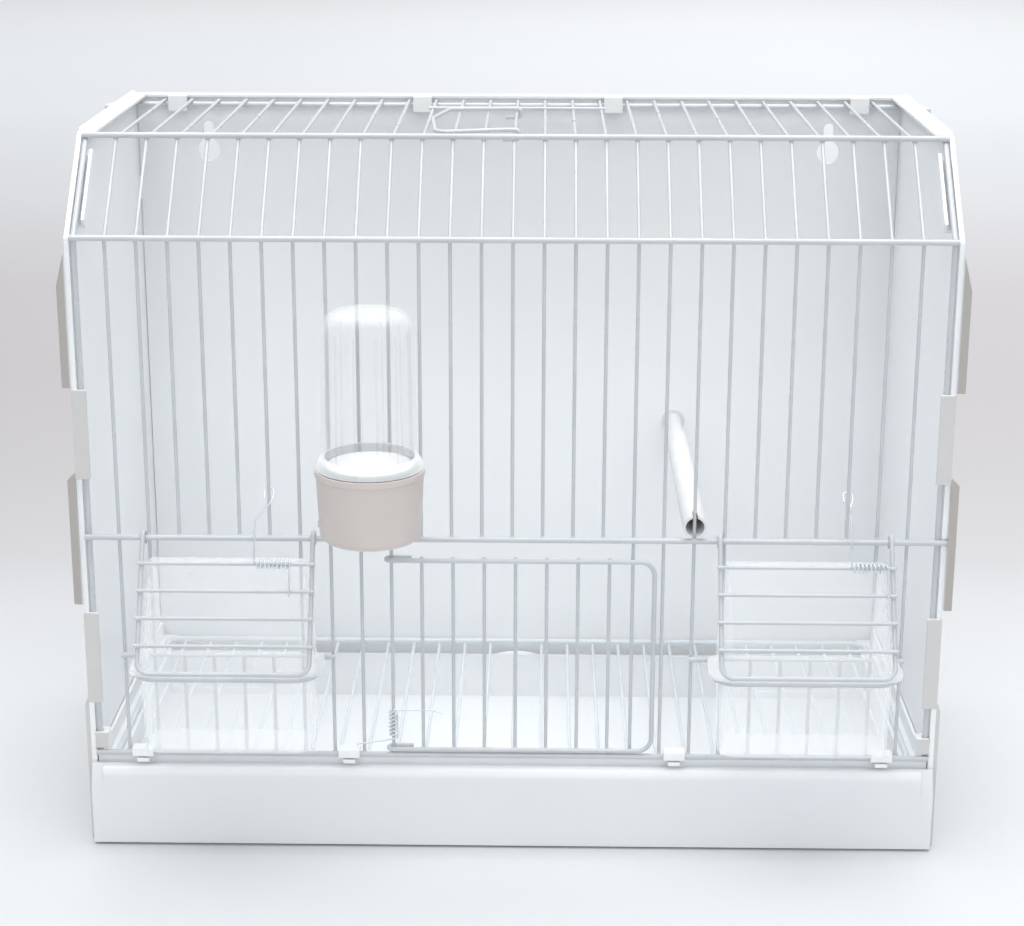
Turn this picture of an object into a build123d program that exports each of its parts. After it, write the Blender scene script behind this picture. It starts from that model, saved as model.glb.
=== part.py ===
"""Bird show cage: plastic shell, bent wire front, sprung door and flaps, tray, cups and drinker.

Millimetres. X runs to the right, Y to the back, Z up. The origin is on the floor, in the middle
of the whole object's box. front_y is the plane of the thin wires of the front.
"""
from build123d import *
from math import cos, pi, radians, sin, sqrt
import os

# Overall layout
wire_pitch = 12.5
pitch_count = 28
front_y = -57.75
cage_depth = 160.0
bottom_rail_z = 40.8
middle_rail_z = 137.2
roof_z = 296.5
slant_height = 34.9
slant_angle = 45.0

# Wire sizes and fits
thin_d = 1.5
rail_d = 2.4
frame_d = 2.0
handle_d = 1.8
spring_d = 0.7
weld_sink = 0.15
wire_gap = 0.3
bend_radius = 4.0
bend_lead = 1.0
rail_overhang = 1.3
middle_rail_tail = 5.7
roof_end_gap = 0.2
roof_overhang = 0.8

# Plastic shell
panel_wall = 2.4
side_wall = 2.0
side_foot_step = 1.95
side_foot_height = 62.0
side_foot_taper = 5.0
side_front = 1.0
flange_wall = 1.4
flange_width = 7.0
flange_front = 39.0
side_depth = 163.0
rim_height = 1.2
rim_wall = 1.4
lug_wall = 3.5
lug_front = 3.4
inner_lug_width = 6.1
inner_lug_wall = 2.2
lug_back = 6.0
outer_lug_spans = [(108.0, 162.0, 3.5), (201.0, 243.0, 14.0)]
inner_lug_spans = [(64.0, 104.0), (162.5, 200.0)]
socket_height = 7.0
socket_low_z = 43.0
socket_width = 5.5
socket_front = 2.6
socket_back = 4.0
slant_fin_wall = 1.4
slant_fin_start = 9.0
slant_fin_length = 35.0
slant_fin_depth = 6.0
block_y = 112.0
block_length = 9.0
block_height = 7.0
block_wall = 2.5
panel_lip_depth = 3.4
roof_clip_wires = [1.5, 10.5, 17.5, 26.5]
roof_clip_wall = 1.4
roof_clip_width = 8.6
keyhole_spacing = 287.4
keyhole_head_r = 5.2
keyhole_slot_r = 2.35
keyhole_z = 273.0
keyhole_rise = 11.0

# Base frame
base_wall = 1.4
crossbar_top_z = 39.3
crossbar_height = 5.4
crossbar_depth = 5.0
runner_wall = 1.5
runner_width = 11.0
ledge_wall = 1.8
ledge_width = 8.0
ledge_z = 30.3
base_depth = 158.0
rear_bar_width = 8.0
clip_wires = [1.5, 8.5, 19.5, 26.5]
clip_width = 9.0
clip_wall = 1.4
clip_lip = 2.2
clip_tongue = 1.7
clip_tongue_width = 5.2

# Tray
tray_wall = 1.6
tray_rest_gap = 0.3
tray_height = 23.5
tray_depth = 153.0
tray_side_gap = 1.8
fascia_bottom_z = 1.0
fascia_height = 35.2
fascia_wall = 2.2
fascia_front = 7.0
fascia_back = 1.5
fascia_round = 4.5
fascia_ramp_width = 5.1
fascia_ramp_depth = 4.0
fascia_ramp_height = 10.7
tab_half = 10.5
tab_reach = 4.5

# Floor grille
grille_front = 6.2
grille_depth = 144.0
grille_inset = 3.0
grille_corner_r = 6.0

# Door
door_hinge_pitches = 10
door_width = 109.0
door_bar_count = 7
door_bar_first = 12.6
door_bar_pitch = 12.95
door_bar_overhang = 0.8
door_top_drop = 9.2
door_corner_r = 6.0
door_tail = 8.3
door_spring_turns = 7
door_spring_pitch = 1.75
door_spring_r = 1.7
door_spring_lift = 3.6
door_spring_arm_length = 16.0
spring_tip = 5.0
spring_tip_bend = 1.0
door_spring_foot = 16.0

# Feeder openings, flaps and baskets
feeder_wires = [2, 21]
feeder_pitches = 5
feeder_shift = 1.8
sill_z = 85.0
flap_lean = 29.0
flap_length = 56.8
flap_half = 35.1
flap_corner_r = 5.0
flap_tail = 2.0
flap_bar_first = 11.5
flap_bar_pitch = 11.35
flap_bar_count = 4
flap_bar_overhang = 1.1
flap_spring_turns = 8
flap_spring_pitch = 1.7
flap_spring_r = 1.65
flap_spring_starts = [12.6, 19.0]
flap_spring_leg = 14.0
flap_spring_lead = 3.0
hook_pitches = 6
hook_knee_z = 146.0
hook_knee_front = 5.6
hook_eye_z = 154.8
hook_eye_r = 1.85
hook_eye_slide = 2.0
hook_eye_tilt = 40.0
hook_eye_start = 70.0
hook_eye_end = 305.0
hook_lead = 3.0
hook_r = 1.2
basket_half = 37.4
basket_front = 28.0
basket_stub = 1.0
basket_corner_r = 9.0
basket_foot_r = 3.0

# Feeder cups
cup_wall = 1.2
cup_back_gap = 2.8
cup_bottom_z = 51.5
cup_shoulder_z = 94.0
cup_top_z = 129.0
cup_bottom_half = 34.9
cup_shoulder_half = 36.1
cup_top_half = 32.5
cup_bottom_depth = 22.8
cup_shoulder_depth = 23.8
cup_top_depth = 4.8
cup_corner_r = 7.6
cup_top_round = 2.0
cup_flange_wall = 1.5
cup_flange_lap = 3.6
cup_mouth_margin = 2.0
cup_recess_half = 16.4
cup_recess_height = 8.6
cup_recess_round = 3.2
cup_recess_depth = 0.6
cup_recess_drop = 4.2

# Drinker
drinker_pitches = 9.5
drinker_front = 25.5
drinker_rim_r = 22.0
drinker_rim_height = 2.6
drinker_rim_step = 0.5
drinker_foot_r = 20.2
drinker_rise = 7.6
drinker_height = 29.3
drinker_wall = 1.8
drinker_lip_wall = 0.8
drinker_lip_drop = 3.0
drinker_well_depth = 11.5
drinker_well_r = 16.2
drinker_edge_r = 3.0
bracket_half = 18.0
bracket_height = 11.0
bracket_wall = 2.2
bracket_hook_reach = 5.5
bracket_hook_lift = 3.8
bracket_hook_height = 3.0
neck_half = 9.0
spout_half = 4.7
spout_wall = 1.2
spout_height = 11.0
spout_reach = 22.0
tube_foot_r = 19.2
tube_r = 18.2
tube_wall = 1.3
tube_rise = 63.5
tube_gap = 0.3
tube_dome_r = 7.0

# Perch
perch_pitches = 20
perch_r = 5.0
perch_bore_r = 3.9
perch_front = 3.6
perch_length = 131.6
perch_slot_depth = 6.5
perch_slot_gap = 0.3
peg_gap = 0.08
peg_length = 48.0
peg_flange_r = 5.5
peg_flange_wall = 1.5

# Roof handle and stiffening rod
handle_pitches = 14
handle_front = 50.0
handle_back = 116.0
handle_reach = 32.5
handle_bow = 3.0
handle_toe = 8.0
handle_corner_r = 5.0
handle_tail = 5.0
rod_depth = 121.0
rod_wires = [11, 17]

# Worked-out sizes and places
thin_r = thin_d / 2
rail_r = rail_d / 2
frame_r = frame_d / 2
handle_r = handle_d / 2
spring_r = spring_d / 2
half_width = wire_pitch * pitch_count / 2
panel_y = front_y + cage_depth
slant = radians(slant_angle)
slant_foot_z = roof_z - slant_height
slant_run = slant_height * cos(slant) / sin(slant)
bend_gain = bend_radius * (1 / cos(slant / 2) - 1)
bend_trim = bend_radius * sin(slant / 2) / cos(slant / 2)
rail_lift = thin_r + rail_r - weld_sink
rail_y = front_y - rail_lift
rail_half = half_width + rail_overhang
side_x = half_width + rail_r + wire_gap
side_face_x = side_x + side_wall
panel_half = side_x - wire_gap
flange_z = roof_z + thin_r + wire_gap
top_z = flange_z + flange_wall
roof_back_y = panel_y - panel_lip_depth - roof_end_gap
roof_rail_y = roof_back_y - rail_r - roof_overhang
roof_rail_z = roof_z - rail_lift
bar_end_z = middle_rail_z - rail_r + weld_sink
bar_foot_z = bottom_rail_z - rail_r + weld_sink

slant_foot = Vector(0, front_y, slant_foot_z)
slant_head = Vector(0, front_y + slant_run, roof_z)
slant_along = Vector(0, cos(slant), sin(slant))
slant_out = Vector(0, -sin(slant), cos(slant))
foot_out = Vector(0, -cos(slant / 2), sin(slant / 2))
head_out = Vector(0, -sin(slant / 2), cos(slant / 2))
right_way = Vector(1, 0, 0)


def wire_x(number):
    """Place of a wire across the front, counted from the left edge wire."""
    return (number - pitch_count / 2) * wire_pitch


def unit(vector):
    """The vector at length one."""
    return vector * (1 / vector.length)


def biarc(start, start_way, end, end_way):
    """Two tangent arcs from one point and direction to another."""
    reach = end - start
    ways = start_way + end_way
    square = 4 - ways.dot(ways)
    half = reach.dot(ways)
    arm = (sqrt(half * half + square * reach.dot(reach)) - half) / square
    start_arm = start + start_way * arm
    end_arm = end - end_way * arm
    middle = (start_arm + end_arm) * 0.5
    TangentArc(start, middle, tangent=start_way)
    TangentArc(middle, end, tangent=unit(end_arm - start_arm))


def coil_state(center, side, across, along, radius, turn_pitch, turns):
    """A point of a coil, and the direction that the wire takes there."""
    angle = 2 * pi * turns
    lift = turn_pitch / (2 * pi * radius)
    point = center + side * (radius * cos(angle)) + across * (radius * sin(angle))
    way = across * cos(angle) - side * sin(angle) + along * lift
    return point + along * (turn_pitch * turns), unit(way)


def coil(center, side, across, along, radius, turn_pitch, turns):
    """A coil of tangent arcs, two to each half turn."""
    for step in range(int(turns * 2)):
        start, start_way = coil_state(center, side, across, along, radius, turn_pitch, step / 2)
        end, end_way = coil_state(center, side, across, along, radius, turn_pitch, (step + 1) / 2)
        biarc(start, start_way, end, end_way)


def coil_gap(radius, turn_pitch):
    """Least gap between one turn of a spring and the next, measured on points of its line."""
    steps = 96
    start = Vector(radius, 0, 0)
    axis = Vector(0, 0, 1)
    least = turn_pitch * 2
    for step in range(steps * 3 // 4, steps * 5 // 4):
        point, _ = coil_state(
            Vector(0, 0, 0), Vector(1, 0, 0), Vector(0, 1, 0), axis, radius, turn_pitch, step / steps
        )
        least = min(least, (point - start).length)
    return least - spring_d


def level(height):
    """A flat plane at a height."""
    return Plane.XY.offset(height)


def facing(depth):
    """A plane across the cage that faces forwards."""
    return Plane(origin=(0, depth, 0), x_dir=(1, 0, 0), z_dir=(0, -1, 0))


def sideways(place):
    """A plane along the cage that faces right."""
    return Plane(origin=(place, 0, 0), x_dir=(0, 1, 0), z_dir=(1, 0, 0))


def span_box(x_span, y_span, z_span, mode=Mode.ADD):
    """A box given by its two ends along each axis."""
    middle = (sum(x_span) / 2, sum(y_span) / 2, sum(z_span) / 2)
    with Locations(middle):
        Box(abs(x_span[1] - x_span[0]), abs(y_span[1] - y_span[0]), abs(z_span[1] - z_span[0]), mode=mode)


def end_plane(line):
    """The plane square to a line at its start."""
    return Plane(origin=line @ 0, z_dir=line % 0)


def front_places(numbers):
    """Places of some front wires on a flat plane."""
    return [(wire_x(number), front_y) for number in numbers]


# Places that the wire groups of the front and roof share
os.makedirs("parts", exist_ok=True)
inner_wires = range(1, pitch_count)
edge_drop = rail_d - rail_lift - weld_sink
edge_places = [(wire_x(number), front_y + edge_drop) for number in (0, pitch_count)]
foot_rail = slant_foot + foot_out * (rail_lift - bend_gain)
head_rail = slant_head + head_out * (rail_lift - bend_gain)
bend_end = bend_trim + bend_lead
slant_start_z = slant_foot_z - bend_end
slant_end_y = front_y + slant_run + bend_end
bend_slope = sin(slant / 2) / cos(slant / 2)

# Rails across the front and the roof
with BuildPart() as cross_rails:
    with BuildSketch(sideways(-rail_half)):
        with Locations(
            (rail_y, bottom_rail_z),
            (foot_rail.Y, foot_rail.Z),
            (head_rail.Y, head_rail.Z),
            (roof_rail_y, roof_rail_z),
        ):
            Circle(rail_r)
    extrude(amount=rail_half * 2)
    with BuildSketch(sideways(-rail_half)):
        with Locations((rail_y, middle_rail_z)):
            Circle(rail_r)
    extrude(amount=rail_half * 2 + middle_rail_tail)
cross_rails.part.label = "cross_rails"
export_step(cross_rails.part, "parts/cross_rails.step")

# Front wires above the middle rail
with BuildPart() as upper_front_bars:
    with BuildSketch(level(bar_end_z)):
        with Locations(*front_places(inner_wires)):
            Circle(thin_r)
        with Locations(*edge_places):
            Circle(rail_r)
    extrude(amount=slant_start_z - bar_end_z)
upper_front_bars.part.label = "upper_front_bars"
export_step(upper_front_bars.part, "parts/upper_front_bars.step")

# Wires of the slanted front, with both their bends
with BuildPart() as slant_bars:
    with BuildLine() as thin_slant:
        FilletPolyline(
            (0, front_y, slant_start_z),
            (0, slant_foot.Y, slant_foot.Z),
            (0, slant_head.Y, slant_head.Z),
            (0, slant_end_y, roof_z),
            radius=bend_radius,
        )
    with BuildSketch(Plane(origin=(0, front_y, slant_start_z), z_dir=(0, 0, 1))):
        with Locations(*[(wire_x(number), 0) for number in inner_wires]):
            Circle(thin_r)
    sweep(path=thin_slant.line)
    with BuildLine() as thick_slant:
        FilletPolyline(
            (0, front_y + edge_drop, slant_start_z),
            (0, slant_foot.Y + edge_drop, slant_foot.Z - edge_drop * bend_slope),
            (0, slant_head.Y + edge_drop * bend_slope, slant_head.Z - edge_drop),
            (0, slant_end_y, roof_z - edge_drop),
            radius=bend_radius - edge_drop,
        )
    with BuildSketch(Plane(origin=(0, front_y + edge_drop, slant_start_z), z_dir=(0, 0, 1))):
        with Locations((-half_width, 0), (half_width, 0)):
            Circle(rail_r)
    sweep(path=thick_slant.line)
slant_bars.part.label = "slant_bars"
export_step(slant_bars.part, "parts/slant_bars.step")

# Wires of the flat roof
with BuildPart() as roof_bars:
    with BuildSketch(facing(roof_back_y)):
        with Locations(*[(wire_x(number), roof_z) for number in inner_wires]):
            Circle(thin_r)
        with Locations((-half_width, roof_z - edge_drop), (half_width, roof_z - edge_drop)):
            Circle(rail_r)
    extrude(amount=roof_back_y - slant_end_y)
roof_bars.part.label = "roof_bars"
export_step(roof_bars.part, "parts/roof_bars.step")

# Front wires below the middle rail, outside the left feeder
with BuildPart() as lower_bars_left:
    with BuildSketch(level(bar_foot_z)):
        with Locations(*front_places((1, 2))):
            Circle(thin_r)
        with Locations(edge_places[0]):
            Circle(rail_r)
    extrude(amount=bar_end_z - bar_foot_z)
lower_bars_left.part.label = "lower_bars_left"
export_step(lower_bars_left.part, "parts/lower_bars_left.step")

# Front wires below the middle rail, between the left feeder and the door
with BuildPart() as lower_bars_mid_left:
    with BuildSketch(level(bar_foot_z)):
        with Locations(*front_places((7, 8, 9, door_hinge_pitches))):
            Circle(thin_r)
    extrude(amount=bar_end_z - bar_foot_z)
lower_bars_mid_left.part.label = "lower_bars_mid_left"
export_step(lower_bars_mid_left.part, "parts/lower_bars_mid_left.step")

# Front wires below the middle rail, between the door and the right feeder
with BuildPart() as lower_bars_mid_right:
    with BuildSketch(level(bar_foot_z)):
        with Locations(*front_places((18, 19, 20, 21))):
            Circle(thin_r)
    extrude(amount=bar_end_z - bar_foot_z)
lower_bars_mid_right.part.label = "lower_bars_mid_right"
export_step(lower_bars_mid_right.part, "parts/lower_bars_mid_right.step")

# Front wires below the middle rail, outside the right feeder
with BuildPart() as lower_bars_right:
    with BuildSketch(level(bar_foot_z)):
        with Locations(*front_places((26, 27))):
            Circle(thin_r)
        with Locations(edge_places[1]):
            Circle(rail_r)
    extrude(amount=bar_end_z - bar_foot_z)
lower_bars_right.part.label = "lower_bars_right"
export_step(lower_bars_right.part, "parts/lower_bars_right.step")

# Short wires under the left feeder opening
feeder_step = (feeder_wires[1] - feeder_wires[0]) * wire_pitch
short_wires = range(feeder_wires[0] + 1, feeder_wires[0] + feeder_pitches)
with BuildPart() as left_short_bars:
    with BuildSketch(level(bar_foot_z)):
        with Locations(*front_places(short_wires)):
            Circle(thin_r)
    extrude(amount=sill_z + thin_r - bar_foot_z)
left_short_bars.part.label = "left_short_bars"
export_step(left_short_bars.part, "parts/left_short_bars.step")

# Short wires under the right feeder opening
with BuildPart() as right_short_bars:
    with Locations((feeder_step, 0, 0)):
        add(left_short_bars.part)
right_short_bars.part.label = "right_short_bars"
export_step(right_short_bars.part, "parts/right_short_bars.step")

# Thin rails along the bottom of both feeder openings
sill_y = front_y - thin_d + weld_sink
sill_length = feeder_pitches * wire_pitch + thin_d * 2
with BuildPart() as feeder_sill_rails:
    for first_wire in feeder_wires:
        with BuildSketch(sideways(wire_x(first_wire) - thin_d)):
            with Locations((sill_y, sill_z)):
                Circle(thin_r)
        extrude(amount=sill_length)
feeder_sill_rails.part.label = "feeder_sill_rails"
export_step(feeder_sill_rails.part, "parts/feeder_sill_rails.step")

# Stiffening rod across the roof wires
rod_length = (rod_wires[1] - rod_wires[0]) * wire_pitch + thin_d * 2
with BuildPart() as roof_rod:
    with BuildSketch(sideways(wire_x(rod_wires[0]) - thin_d)):
        with Locations((front_y + rod_depth, roof_z + thin_d - weld_sink)):
            Circle(thin_r)
    extrude(amount=rod_length)
roof_rod.part.label = "roof_rod"
export_step(roof_rod.part, "parts/roof_rod.step")

# Back panel with keyholes, and clips that take the rear roof rail
roof_clip_y = roof_rail_y - rail_r - wire_gap
roof_clip_z = roof_rail_z - rail_r - wire_gap
lip_half = side_face_x - flange_width - wire_gap
with BuildPart() as back_panel:
    span_box((-panel_half, panel_half), (panel_y, panel_y + panel_wall), (0, top_z))
    span_box((-lip_half, lip_half), (panel_y - panel_lip_depth, panel_y), (flange_z, top_z))
    with BuildSketch(facing(panel_y + panel_wall)):
        for place in (-keyhole_spacing / 2, keyhole_spacing / 2):
            with Locations((place, keyhole_z)):
                Circle(keyhole_head_r)
            with Locations((place, keyhole_z + keyhole_rise / 2)):
                Rectangle(keyhole_slot_r * 2, keyhole_rise)
            with Locations((place, keyhole_z + keyhole_rise)):
                Circle(keyhole_slot_r)
    extrude(amount=panel_wall, mode=Mode.SUBTRACT)
    for number in roof_clip_wires:
        with BuildSketch(sideways(wire_x(number) - roof_clip_width / 2)):
            with BuildLine():
                Polyline(
                    (panel_y - panel_lip_depth, flange_z),
                    (roof_clip_y, flange_z),
                    (roof_clip_y, roof_clip_z),
                    (roof_rail_y + rail_r, roof_clip_z),
                    (roof_rail_y + rail_r, roof_clip_z - roof_clip_wall),
                    (roof_clip_y - roof_clip_wall, roof_clip_z - roof_clip_wall),
                    (roof_clip_y - roof_clip_wall, top_z),
                    (panel_y - panel_lip_depth, top_z),
                    close=True,
                )
            make_face()
        extrude(amount=roof_clip_width)
back_panel.part.label = "back_panel"
export_step(back_panel.part, "parts/back_panel.step")

# Side panel on the left, with its lugs, wire channel and roof flange
side_front_y = front_y - side_front
side_back_y = front_y + side_depth
side_corner_z = slant_foot_z + side_front * bend_slope
flange_in_x = side_face_x - flange_width
lug_face_x = side_face_x + lug_wall
fin_foot = slant_foot + slant_along * slant_fin_start
fin_head = fin_foot + slant_along * slant_fin_length
fin_drop = slant_out * -slant_fin_depth
channel_drop = slant_out * -(slant_fin_depth - flange_wall)
with BuildPart() as left_side_panel:
    with BuildSketch(sideways(-side_face_x)):
        with BuildLine():
            Polyline(
                (side_front_y, 0),
                (side_back_y, 0),
                (side_back_y, top_z),
                (side_front_y + top_z - side_corner_z, top_z),
                (side_front_y, side_corner_z),
                close=True,
            )
        make_face()
    extrude(amount=side_wall)
    with BuildSketch(facing(side_back_y)):
        with BuildLine():
            Polyline(
                (-side_face_x, 0),
                (-side_face_x, side_foot_height + side_foot_taper),
                (-side_face_x - side_foot_step, side_foot_height),
                (-side_face_x - side_foot_step, 0),
                close=True,
            )
        make_face()
    extrude(amount=side_back_y - side_front_y)
    span_box((-side_x, -flange_in_x), (front_y + flange_front, panel_y - wire_gap), (flange_z, top_z))
    span_box(
        (-side_face_x, -side_face_x + rim_wall),
        (front_y + flange_front, panel_y - wire_gap),
        (top_z, top_z + rim_height),
    )
    for low_z, high_z, taper in outer_lug_spans:
        with BuildSketch(facing(front_y + lug_back)):
            with BuildLine():
                Polyline(
                    (-side_face_x, low_z),
                    (-side_face_x, high_z + taper),
                    (-lug_face_x, high_z),
                    (-lug_face_x, low_z),
                    close=True,
                )
            make_face()
        extrude(amount=lug_front + lug_back)
    for low_z, high_z in inner_lug_spans:
        span_box(
            (-side_face_x, -side_face_x + inner_lug_width),
            (side_front_y - inner_lug_wall, side_front_y),
            (low_z, high_z),
        )
    span_box(
        (-side_x, -side_x + socket_width),
        (front_y - socket_front, front_y + socket_back),
        (socket_low_z, socket_low_z + socket_height),
    )
    with BuildSketch(level(socket_low_z)):
        with Locations(edge_places[0]):
            Circle(rail_r + wire_gap)
    extrude(amount=socket_height, mode=Mode.SUBTRACT)
    with BuildSketch(sideways(-flange_in_x - slant_fin_wall)):
        with BuildLine():
            Polyline(
                (fin_foot.Y, fin_foot.Z),
                (fin_head.Y, fin_head.Z),
                ((fin_head + fin_drop).Y, (fin_head + fin_drop).Z),
                ((fin_foot + fin_drop).Y, (fin_foot + fin_drop).Z),
                close=True,
            )
        make_face()
    extrude(amount=slant_fin_wall)
    with BuildSketch(sideways(-side_x)):
        with BuildLine():
            Polyline(
                ((fin_foot + channel_drop).Y, (fin_foot + channel_drop).Z),
                ((fin_head + channel_drop).Y, (fin_head + channel_drop).Z),
                ((fin_head + fin_drop).Y, (fin_head + fin_drop).Z),
                ((fin_foot + fin_drop).Y, (fin_foot + fin_drop).Z),
                close=True,
            )
        make_face()
    extrude(amount=side_x - flange_in_x - slant_fin_wall)
    span_box(
        (-side_face_x - block_wall, -side_face_x),
        (front_y + block_y - block_length / 2, front_y + block_y + block_length / 2),
        (top_z + rim_height - block_height, top_z + rim_height),
    )
left_side_panel.part.label = "left_side_panel"
export_step(left_side_panel.part, "parts/left_side_panel.step")

# Side panel on the right, with a hole for the tail of the middle rail
with BuildPart() as right_side_panel:
    mirror(left_side_panel.part, about=Plane.YZ)
    with BuildSketch(sideways(side_x)):
        with Locations((rail_y, middle_rail_z)):
            Circle(rail_r + wire_gap)
    extrude(amount=side_wall + lug_wall, mode=Mode.SUBTRACT)
right_side_panel.part.label = "right_side_panel"
export_step(right_side_panel.part, "parts/right_side_panel.step")

# Base frame: crossbar with rail clips, side webs, ledges, runners and a rear bar
base_back_y = front_y + base_depth
clip_back_y = rail_y + rail_r + wire_gap
clip_front_y = rail_y - rail_r - wire_gap - clip_wall
jaw_z = bottom_rail_z + rail_r + wire_gap
with BuildPart() as base_frame:
    span_box(
        (-panel_half, panel_half),
        (front_y, front_y + crossbar_depth),
        (crossbar_top_z - crossbar_height, crossbar_top_z),
    )
    span_box((-panel_half, panel_half), (base_back_y - rear_bar_width, base_back_y), (0, runner_wall))
    for side in (-1, 1):
        outer_x = side * panel_half
        span_box((outer_x, outer_x - side * base_wall), (front_y, base_back_y), (0, crossbar_top_z))
        span_box((outer_x, outer_x - side * runner_width), (front_y, base_back_y), (0, runner_wall))
        span_box((outer_x, outer_x - side * ledge_width), (front_y, base_back_y), (ledge_z, ledge_z + ledge_wall))
    for number in clip_wires:
        clip_span = (wire_x(number) - clip_width / 2, wire_x(number) + clip_width / 2)
        tongue_span = (wire_x(number) - clip_tongue_width / 2, wire_x(number) + clip_tongue_width / 2)
        clip_plate_z = (crossbar_top_z - clip_tongue, jaw_z + clip_wall)
        span_box(clip_span, (clip_back_y, clip_back_y + clip_wall), clip_plate_z)
        span_box(clip_span, (clip_front_y, clip_back_y), (jaw_z, jaw_z + clip_wall))
        span_box(clip_span, (clip_front_y, clip_front_y + clip_wall), (jaw_z - clip_lip, jaw_z))
        span_box(tongue_span, (clip_front_y, front_y + clip_wall), (crossbar_top_z - clip_tongue, crossbar_top_z))
base_frame.part.label = "base_frame"
export_step(base_frame.part, "parts/base_frame.step")

# Tray with its deep front, whose top corners are cut back, and a finger tab at the back
tray_half = panel_half - base_wall - tray_side_gap
tray_floor_z = runner_wall + tray_rest_gap
tray_top_z = tray_floor_z + tray_height
fascia_front_y = front_y - fascia_front
fascia_back_y = front_y - fascia_back
fascia_inner_y = fascia_front_y + fascia_wall
fascia_top_z = fascia_bottom_z + fascia_height
tray_back_y = front_y + tray_depth
fascia_room_half = side_face_x - fascia_ramp_width - fascia_wall
tab_r = (tab_half * tab_half + tab_reach * tab_reach) / (tab_reach * 2)
with BuildPart() as tray:
    with BuildSketch(sideways(-side_face_x)):
        with BuildLine():
            Line((fascia_front_y, fascia_bottom_z), (fascia_back_y, fascia_bottom_z))
            Line((fascia_back_y, fascia_bottom_z), (fascia_back_y, fascia_top_z))
            Line((fascia_back_y, fascia_top_z), (fascia_front_y + fascia_round, fascia_top_z))
            RadiusArc(
                (fascia_front_y + fascia_round, fascia_top_z),
                (fascia_front_y, fascia_top_z - fascia_round),
                -fascia_round,
            )
            Line((fascia_front_y, fascia_top_z - fascia_round), (fascia_front_y, fascia_bottom_z))
        make_face()
    extrude(amount=side_face_x * 2)
    span_box(
        (-fascia_room_half, fascia_room_half),
        (fascia_inner_y, fascia_back_y),
        (fascia_bottom_z + fascia_wall, fascia_top_z - fascia_wall),
        mode=Mode.SUBTRACT,
    )
    for start_x in (-side_face_x, side_face_x - fascia_ramp_width):
        with BuildSketch(sideways(start_x)):
            with BuildLine():
                Polyline(
                    (fascia_front_y, fascia_top_z - fascia_ramp_height),
                    (fascia_front_y, fascia_top_z),
                    (fascia_front_y + fascia_ramp_depth, fascia_top_z),
                    close=True,
                )
            make_face()
        extrude(amount=fascia_ramp_width, mode=Mode.SUBTRACT)
    span_box((-tray_half, tray_half), (fascia_inner_y, tray_back_y), (tray_floor_z, tray_floor_z + tray_wall))
    for side in (-1, 1):
        outer_x = side * tray_half
        span_box((outer_x, outer_x - side * tray_wall), (fascia_inner_y, tray_back_y), (tray_floor_z, tray_top_z))
    span_box((-tray_half, tray_half), (tray_back_y - tray_wall, tray_back_y), (tray_floor_z, tray_top_z))
    with BuildSketch(level(tray_top_z - tray_wall)):
        with Locations((0, tray_back_y + tab_reach - tab_r)):
            Circle(tab_r)
        with Locations((0, tray_back_y - tray_wall - tab_r)):
            Rectangle(tab_r * 2, tab_r * 2, mode=Mode.SUBTRACT)
    extrude(amount=tray_wall)
tray.part.label = "tray"
export_step(tray.part, "parts/tray.step")

# Floor grille, rails then the wires that hang under them
grille_rail_z = ledge_z + ledge_wall + wire_gap + rail_r
grille_wire_z = grille_rail_z - rail_lift
grille_start_y = front_y + grille_front
grille_end_y = grille_start_y + grille_depth
grille_half = panel_half - base_wall - grille_inset
grille_rail_half = grille_half - rail_r
with BuildPart() as floor_grille_rails:
    with BuildLine() as grille_loop:
        FilletPolyline(
            (0, grille_start_y + rail_r, grille_rail_z),
            (grille_rail_half, grille_start_y + rail_r, grille_rail_z),
            (grille_rail_half, grille_end_y - rail_r, grille_rail_z),
            (-grille_rail_half, grille_end_y - rail_r, grille_rail_z),
            (-grille_rail_half, grille_start_y + rail_r, grille_rail_z),
            (-weld_sink, grille_start_y + rail_r, grille_rail_z),
            radius=grille_corner_r,
        )
    with BuildSketch(end_plane(grille_loop.line)):
        Circle(rail_r)
    sweep(path=grille_loop.line)
floor_grille_rails.part.label = "floor_grille_rails"
export_step(floor_grille_rails.part, "parts/floor_grille_rails.step")

with BuildPart() as floor_grille_wires:
    with BuildSketch(facing(grille_end_y)):
        with Locations(*[(wire_x(number), grille_wire_z) for number in inner_wires]):
            Circle(thin_r)
    extrude(amount=grille_depth)
floor_grille_wires.part.label = "floor_grille_wires"
export_step(floor_grille_wires.part, "parts/floor_grille_wires.step")

# Door frame, hooked round the hinge wire at both ends
hinge_x = wire_x(door_hinge_pitches)
door_loop_r = thin_r + wire_gap + frame_r
door_y = front_y - door_loop_r
door_low_z = bottom_rail_z + rail_r + wire_gap + frame_r
door_high_z = middle_rail_z - door_top_drop
door_free_x = hinge_x + door_width
with BuildPart() as door_frame:
    with BuildLine() as door_path:
        Line(
            (hinge_x + door_tail, front_y + door_loop_r, door_low_z),
            (hinge_x, front_y + door_loop_r, door_low_z),
        )
        ThreePointArc(
            (hinge_x, front_y + door_loop_r, door_low_z),
            (hinge_x - door_loop_r, front_y, door_low_z),
            (hinge_x, door_y, door_low_z),
        )
        FilletPolyline(
            (hinge_x, door_y, door_low_z),
            (door_free_x, door_y, door_low_z),
            (door_free_x, door_y, door_high_z),
            (hinge_x, door_y, door_high_z),
            radius=door_corner_r,
        )
        ThreePointArc(
            (hinge_x, door_y, door_high_z),
            (hinge_x - door_loop_r, front_y, door_high_z),
            (hinge_x, front_y + door_loop_r, door_high_z),
        )
        Line(
            (hinge_x, front_y + door_loop_r, door_high_z),
            (hinge_x + door_tail, front_y + door_loop_r, door_high_z),
        )
    with BuildSketch(end_plane(door_path.line)):
        Circle(frame_r)
    sweep(path=door_path.line)
door_frame.part.label = "door_frame"
export_step(door_frame.part, "parts/door_frame.step")

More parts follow.
